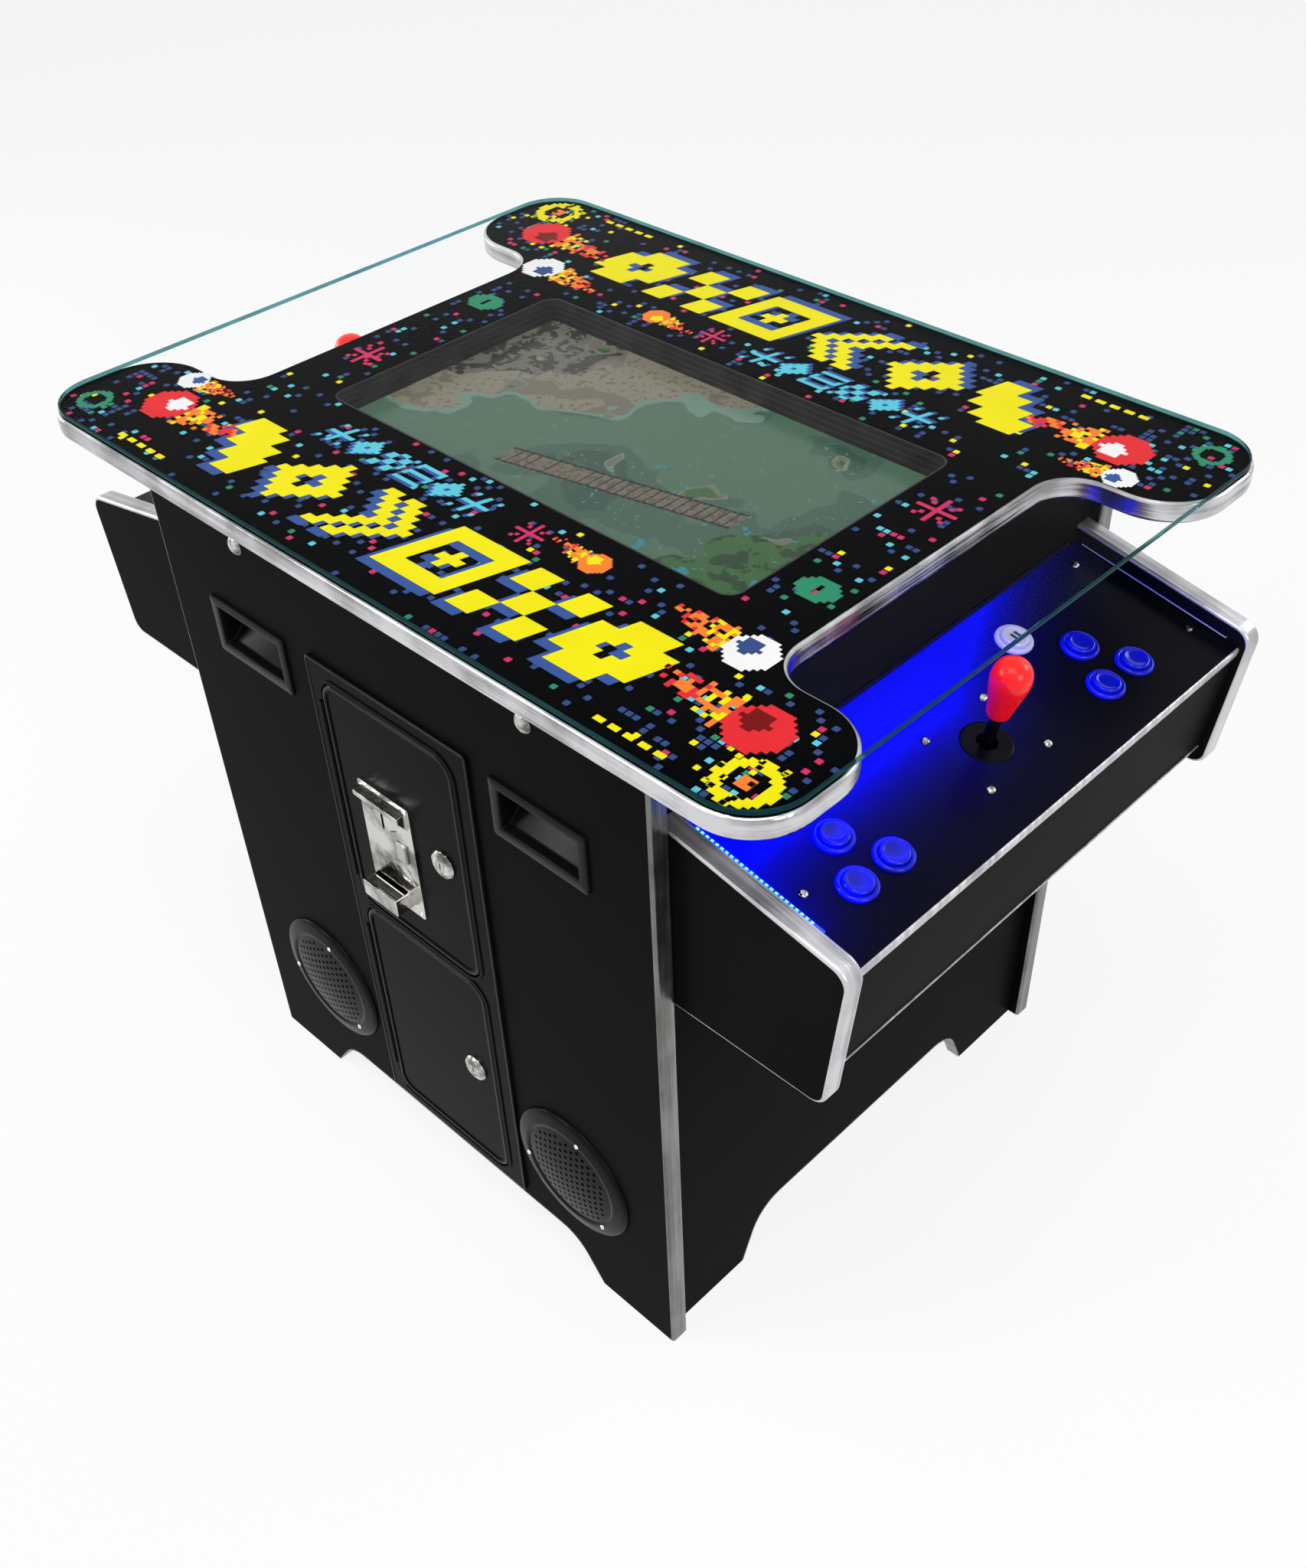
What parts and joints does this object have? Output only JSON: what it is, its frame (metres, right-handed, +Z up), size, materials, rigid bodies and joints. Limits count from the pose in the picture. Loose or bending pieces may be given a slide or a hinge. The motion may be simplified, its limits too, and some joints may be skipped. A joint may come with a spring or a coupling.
{
  "type": "arcade cabinet",
  "caption": "Cocktail-table arcade cabinet with a screen under glass, facing control boxes with joysticks and push buttons, speakers and a hinged coin door.",
  "frame": {"origin": "centre of the footprint, on the floor", "axes": "+X towards player 1's seat, -Y out of the side with the coin door, +Z up"},
  "size_m": [0.9312, 0.629, 0.737],
  "materials": {
    "glass": "clear tempered glass with a teal edge",
    "art_print": "printed sheet, dark ground with bright square shapes",
    "edge_board": "blackened board",
    "trim": "bright metallised edge trim",
    "bezel": "moulded grey steps",
    "screen": "lit liquid-crystal screen",
    "case": "fine-textured black plastic",
    "laminate": "satin near-black laminate on board",
    "timber": "plain plywood",
    "zinc": "zinc-plated steel sheet",
    "chrome": "polished chrome plate",
    "panel_black": "satin-gloss black control panel",
    "led": "blue lamp strip",
    "button_blue": "translucent blue plastic",
    "button_pale": "translucent pale plastic",
    "bat_red": "glossy red plastic",
    "shaft": "blackened steel",
    "powder": "black powder coat",
    "nickel": "satin nickel",
    "circuit": "green circuit board",
    "paper_cone": "black paper cone and pressed basket"
  },
  "bodies": {
    "cabinet": {"glass_top": "glass", "artwork_sheet": "art_print", "tabletop_board": "edge_board", "tabletop_trim": "trim", "screen_bezel": "bezel", "lcd_panel": "screen", "monitor_case": "case", "steel_brackets": "zinc", "bolts_and_screws": "chrome", "coin_side_panel": "laminate", "far_side_panel": "laminate", "end_panels": "laminate", "inner_timber": "timber", "panel_trims": "trim", "handle_cups": "case", "speaker_grilles": "case", "speaker_drivers": "paper_cone", "power_supply": "zinc", "game_board": "circuit", "power_inlet": "case", "control_box_sides": "laminate", "control_box_boards": "laminate", "control_box_trims": "trim", "control_panels": "panel_black", "light_strips": "led", "button_collars": "button_blue", "button_switches": "case", "joystick_bases": "case", "coin_door_frame": "powder", "cash_box": "zinc"},
    "upper_door": {"upper_coin_door": "powder", "coin_slot_plate": "nickel", "coin_acceptor": "case", "upper_lock_barrel": "chrome"},
    "lower_door": {"lower_cash_door": "powder", "lower_lock_barrel": "chrome"},
    "upper_cam": {"upper_lock_cam": "nickel"},
    "lower_cam": {"lower_lock_cam": "nickel"},
    "reject_button": {"coin_reject_button": "nickel"},
    "return_flap": {"coin_return_flap": "nickel"},
    "player_1_pivot": {"player_1_joystick_pivot": "zinc"},
    "player_1_stick": {"player_1_joystick_shaft": "shaft", "player_1_joystick_bat": "bat_red"},
    "player_1_button_1": {"player_1_button_1": "button_blue"},
    "player_1_button_2": {"player_1_button_2": "button_blue"},
    "player_1_button_3": {"player_1_button_3": "button_blue"},
    "player_1_button_4": {"player_1_button_4": "button_blue"},
    "player_1_button_5": {"player_1_button_5": "button_blue"},
    "player_1_button_6": {"player_1_button_6": "button_blue"},
    "player_1_start_button": {"player_1_start_button": "button_pale"},
    "player_2_pivot": {"player_2_joystick_pivot": "zinc"},
    "player_2_stick": {"player_2_joystick_shaft": "shaft", "player_2_joystick_bat": "bat_red"},
    "player_2_button_1": {"player_2_button_1": "button_blue"},
    "player_2_button_2": {"player_2_button_2": "button_blue"},
    "player_2_button_3": {"player_2_button_3": "button_blue"},
    "player_2_button_4": {"player_2_button_4": "button_blue"},
    "player_2_button_5": {"player_2_button_5": "button_blue"},
    "player_2_button_6": {"player_2_button_6": "button_blue"},
    "player_2_start_button": {"player_2_start_button": "button_pale"}
  },
  "joints": [
    {"name": "upper_door_hinge", "type": "hinge", "parent": "cabinet", "child": "upper_door", "pos_m": [-0.0852, -0.2911, 0.466], "axis": [0, 0, -1], "range_deg": [0, 110]},
    {"name": "lower_door_hinge", "type": "hinge", "parent": "cabinet", "child": "lower_door", "pos_m": [-0.0852, -0.2911, 0.1995], "axis": [0, 0, -1], "range_deg": [0, 110]},
    {"name": "upper_cam_turn", "type": "hinge", "parent": "upper_door", "child": "upper_cam", "pos_m": [0.056, -0.2885, 0.466], "axis": [0, 1, 0], "range_deg": [0, 90]},
    {"name": "lower_cam_turn", "type": "hinge", "parent": "lower_door", "child": "lower_cam", "pos_m": [0.056, -0.2885, 0.204], "axis": [0, 1, 0], "range_deg": [0, 90]},
    {"name": "reject_press", "type": "slide", "parent": "upper_door", "child": "reject_button", "axis": [0, 1, 0], "range_m": [0, 0.004], "stiffness_N_per_m": 300, "springref_m": -0.002},
    {"name": "return_flap_swing", "type": "hinge", "parent": "upper_door", "child": "return_flap", "pos_m": [-0.025, -0.2966, 0.3924], "axis": [1, 0, 0], "range_deg": [0, 40]},
    {"name": "player_1_stick_towards", "type": "hinge", "parent": "cabinet", "child": "player_1_pivot", "pos_m": [0.38226, -0.005, 0.58755], "axis": [0, 1, 0], "range_deg": [-8, 8], "stiffness_Nm_per_rad": 1.2},
    {"name": "player_1_stick_sideways", "type": "hinge", "parent": "player_1_pivot", "child": "player_1_stick", "pos_m": [0.38226, -0.005, 0.58755], "axis": [0.9803, 0, -0.1977], "range_deg": [-8, 8], "stiffness_Nm_per_rad": 1.2},
    {"name": "player_1_button_1_press", "type": "slide", "parent": "cabinet", "child": "player_1_button_1", "axis": [-0.1977, 0, -0.9803], "range_m": [0, 0.003], "stiffness_N_per_m": 300, "springref_m": -0.002},
    {"name": "player_1_button_2_press", "type": "slide", "parent": "cabinet", "child": "player_1_button_2", "axis": [-0.1977, 0, -0.9803], "range_m": [0, 0.003], "stiffness_N_per_m": 300, "springref_m": -0.002},
    {"name": "player_1_button_3_press", "type": "slide", "parent": "cabinet", "child": "player_1_button_3", "axis": [-0.1977, 0, -0.9803], "range_m": [0, 0.003], "stiffness_N_per_m": 300, "springref_m": -0.002},
    {"name": "player_1_button_4_press", "type": "slide", "parent": "cabinet", "child": "player_1_button_4", "axis": [-0.1977, 0, -0.9803], "range_m": [0, 0.003], "stiffness_N_per_m": 300, "springref_m": -0.002},
    {"name": "player_1_button_5_press", "type": "slide", "parent": "cabinet", "child": "player_1_button_5", "axis": [-0.1977, 0, -0.9803], "range_m": [0, 0.003], "stiffness_N_per_m": 300, "springref_m": -0.002},
    {"name": "player_1_button_6_press", "type": "slide", "parent": "cabinet", "child": "player_1_button_6", "axis": [-0.1977, 0, -0.9803], "range_m": [0, 0.003], "stiffness_N_per_m": 300, "springref_m": -0.002},
    {"name": "player_1_start_button_press", "type": "slide", "parent": "cabinet", "child": "player_1_start_button", "axis": [-0.1977, 0, -0.9803], "range_m": [0, 0.003], "stiffness_N_per_m": 300, "springref_m": -0.002},
    {"name": "player_2_stick_towards", "type": "hinge", "parent": "cabinet", "child": "player_2_pivot", "pos_m": [-0.38226, 0.005, 0.58755], "axis": [0, 1, 0], "range_deg": [-8, 8], "stiffness_Nm_per_rad": 1.2},
    {"name": "player_2_stick_sideways", "type": "hinge", "parent": "player_2_pivot", "child": "player_2_stick", "pos_m": [-0.38226, 0.005, 0.58755], "axis": [-0.9803, 0, -0.1977], "range_deg": [-8, 8], "stiffness_Nm_per_rad": 1.2},
    {"name": "player_2_button_1_press", "type": "slide", "parent": "cabinet", "child": "player_2_button_1", "axis": [0.1977, 0, -0.9803], "range_m": [0, 0.003], "stiffness_N_per_m": 300, "springref_m": -0.002},
    {"name": "player_2_button_2_press", "type": "slide", "parent": "cabinet", "child": "player_2_button_2", "axis": [0.1977, 0, -0.9803], "range_m": [0, 0.003], "stiffness_N_per_m": 300, "springref_m": -0.002},
    {"name": "player_2_button_3_press", "type": "slide", "parent": "cabinet", "child": "player_2_button_3", "axis": [0.1977, 0, -0.9803], "range_m": [0, 0.003], "stiffness_N_per_m": 300, "springref_m": -0.002},
    {"name": "player_2_button_4_press", "type": "slide", "parent": "cabinet", "child": "player_2_button_4", "axis": [0.1977, 0, -0.9803], "range_m": [0, 0.003], "stiffness_N_per_m": 300, "springref_m": -0.002},
    {"name": "player_2_button_5_press", "type": "slide", "parent": "cabinet", "child": "player_2_button_5", "axis": [0.1977, 0, -0.9803], "range_m": [0, 0.003], "stiffness_N_per_m": 300, "springref_m": -0.002},
    {"name": "player_2_button_6_press", "type": "slide", "parent": "cabinet", "child": "player_2_button_6", "axis": [0.1977, 0, -0.9803], "range_m": [0, 0.003], "stiffness_N_per_m": 300, "springref_m": -0.002},
    {"name": "player_2_start_button_press", "type": "slide", "parent": "cabinet", "child": "player_2_start_button", "axis": [0.1977, 0, -0.9803], "range_m": [0, 0.003], "stiffness_N_per_m": 300, "springref_m": -0.002}
  ]
}
